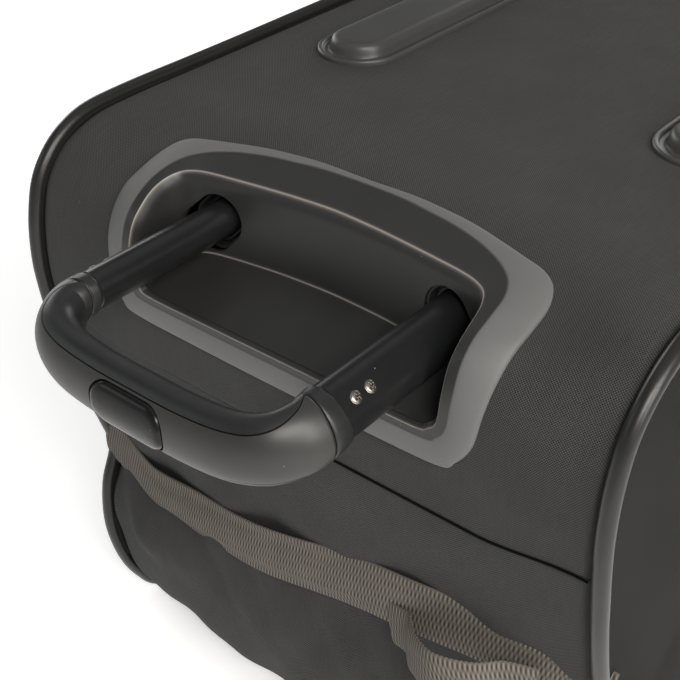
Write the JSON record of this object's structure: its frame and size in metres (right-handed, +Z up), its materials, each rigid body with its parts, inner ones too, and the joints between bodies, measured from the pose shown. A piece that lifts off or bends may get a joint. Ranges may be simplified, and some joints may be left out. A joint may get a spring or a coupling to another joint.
{
  "type": "wheeled ski bag",
  "caption": "Long wheeled fabric ski bag lying on its front lid, with a telescopic tow handle part way out of a moulded tray in its back panel.",
  "frame": {"origin": "bottom centre of the bounding box, on the floor under the front lid", "axes": "+Y along the bag from the tow handle to the wheels, +X across it to the zip side, +Z up out of the back panel"},
  "size_m": [0.397, 1.883, 0.373],
  "materials": {
    "bag_fabric": "plain-woven polyester, matt",
    "side_fabric": "plain-woven polyester, darker",
    "piping_vinyl": "semi-gloss vinyl piping",
    "webbing": "ribbed nylon webbing",
    "zip": "zip tape and coil",
    "zip_metal": "nickel-plated casting",
    "moulded_tray": "satin moulded",
    "moulded_black": "fine-grain moulded",
    "board": "extruded sheet",
    "lining": "thin lining",
    "tube_black": "satin black anodised",
    "grip_black": "satin moulded",
    "button_black": "semi-gloss moulded",
    "steel": "plated",
    "rubber": "matt",
    "hub": "moulded"
  },
  "bodies": {
    "root": {"back_panel": "bag_fabric", "side_panel_left": "side_fabric", "side_panel_right": "side_fabric", "handle_end_panel": "bag_fabric", "wheel_end_panel": "bag_fabric", "piping_left": "piping_vinyl", "piping_right": "piping_vinyl", "zip_tape": "zip", "stiffener_board": "board", "lining_panel": "lining", "skid_rail_left": "moulded_black", "skid_rail_right": "moulded_black", "handle_tray": "moulded_tray", "outer_tube_left": "tube_black", "outer_tube_right": "tube_black", "tube_collars": "moulded_black", "base_bracket": "moulded_black", "bracket_screws": "steel", "wheel_housing_left": "moulded_black", "wheel_housing_right": "moulded_black", "axle_left": "steel", "axle_right": "steel", "standing_feet": "moulded_black", "end_webbing": "webbing", "end_grab_loop": "webbing", "side_handle_left": "webbing", "side_handle_right": "webbing", "handle_wrap_left": "side_fabric", "handle_wrap_right": "side_fabric", "wheel_end_handle": "moulded_black", "ski_strap_front": "webbing", "ski_strap_rear": "webbing"},
    "lid": {"front_lid": "bag_fabric"},
    "middle_stage": {"middle_tube_left": "tube_black", "middle_tube_right": "tube_black", "middle_collars": "moulded_black"},
    "inner_stage": {"inner_tube_left": "tube_black", "inner_tube_right": "tube_black", "inner_plugs": "moulded_black", "grip_tenons": "moulded_black", "grip_inner_shell": "grip_black", "grip_outer_cap": "grip_black", "grip_screws": "steel", "button_spring": "steel"},
    "release": {"grip_button": "button_black", "release_yoke": "moulded_black", "push_rods": "steel"},
    "pin_left": {"lock_pin_left": "steel"},
    "pin_right": {"lock_pin_right": "steel"},
    "wheel_left": {"wheel_hub_left": "hub", "tyre_left": "rubber", "bearings_left": "steel"},
    "wheel_right": {"wheel_hub_right": "hub", "tyre_right": "rubber", "bearings_right": "steel"},
    "slider_front": {"zip_slider_front": "zip_metal"},
    "slider_rear": {"zip_slider_rear": "zip_metal"},
    "pull_front": {"zip_pull_front": "zip_metal"},
    "pull_rear": {"zip_pull_rear": "zip_metal"}
  },
  "joints": [
    {"name": "middle_slide", "type": "slide", "parent": "root", "child": "middle_stage", "axis": [0, -1, 0], "range_m": [0, 0.25]},
    {"name": "inner_slide", "type": "slide", "parent": "middle_stage", "child": "inner_stage", "axis": [0, -1, 0], "range_m": [-0.065, 0.2]},
    {"name": "button_press", "type": "slide", "parent": "inner_stage", "child": "release", "axis": [0, 1, 0], "range_m": [0, 0.004], "stiffness_N_per_m": 900, "deforming": ["button_spring"]},
    {"name": "pin_left_retract", "type": "slide", "parent": "inner_stage", "child": "pin_left", "axis": [0.7071, 0, -0.7071], "range_m": [0, 0.003]},
    {"name": "pin_right_retract", "type": "slide", "parent": "inner_stage", "child": "pin_right", "axis": [-0.7071, 0, -0.7071], "range_m": [0, 0.003]},
    {"name": "wheel_left_spin", "type": "hinge", "parent": "root", "child": "wheel_left", "pos_m": [-0.126, 0.8965, 0.328], "axis": [1, 0, 0], "continuous": true},
    {"name": "wheel_right_spin", "type": "hinge", "parent": "root", "child": "wheel_right", "pos_m": [0.126, 0.8965, 0.328], "axis": [1, 0, 0], "continuous": true},
    {"name": "lid_hinge", "type": "hinge", "parent": "root", "child": "lid", "pos_m": [-0.169, 0.0345, 0.045], "axis": [0, 1, 0], "range_deg": [0, 110]},
    {"name": "slider_front_run", "type": "slide", "parent": "root", "child": "slider_front", "axis": [0, 1, 0], "range_m": [0, 0.75]},
    {"name": "slider_rear_run", "type": "slide", "parent": "root", "child": "slider_rear", "axis": [0, 1, 0], "range_m": [-0.75, 0]},
    {"name": "pull_front_swing", "type": "hinge", "parent": "slider_front", "child": "pull_front", "pos_m": [0.1729, -0.7555, 0.05], "axis": [0, -1, 0], "range_deg": [0, 100]},
    {"name": "pull_rear_swing", "type": "hinge", "parent": "slider_rear", "child": "pull_rear", "pos_m": [0.1729, 0.8245, 0.05], "axis": [0, -1, 0], "range_deg": [0, 100]}
  ],
  "couplings": [
    {"joint": "pin_left_retract", "follows": "button_press", "ratio": 0.75},
    {"joint": "pin_right_retract", "follows": "button_press", "ratio": 0.75}
  ]
}
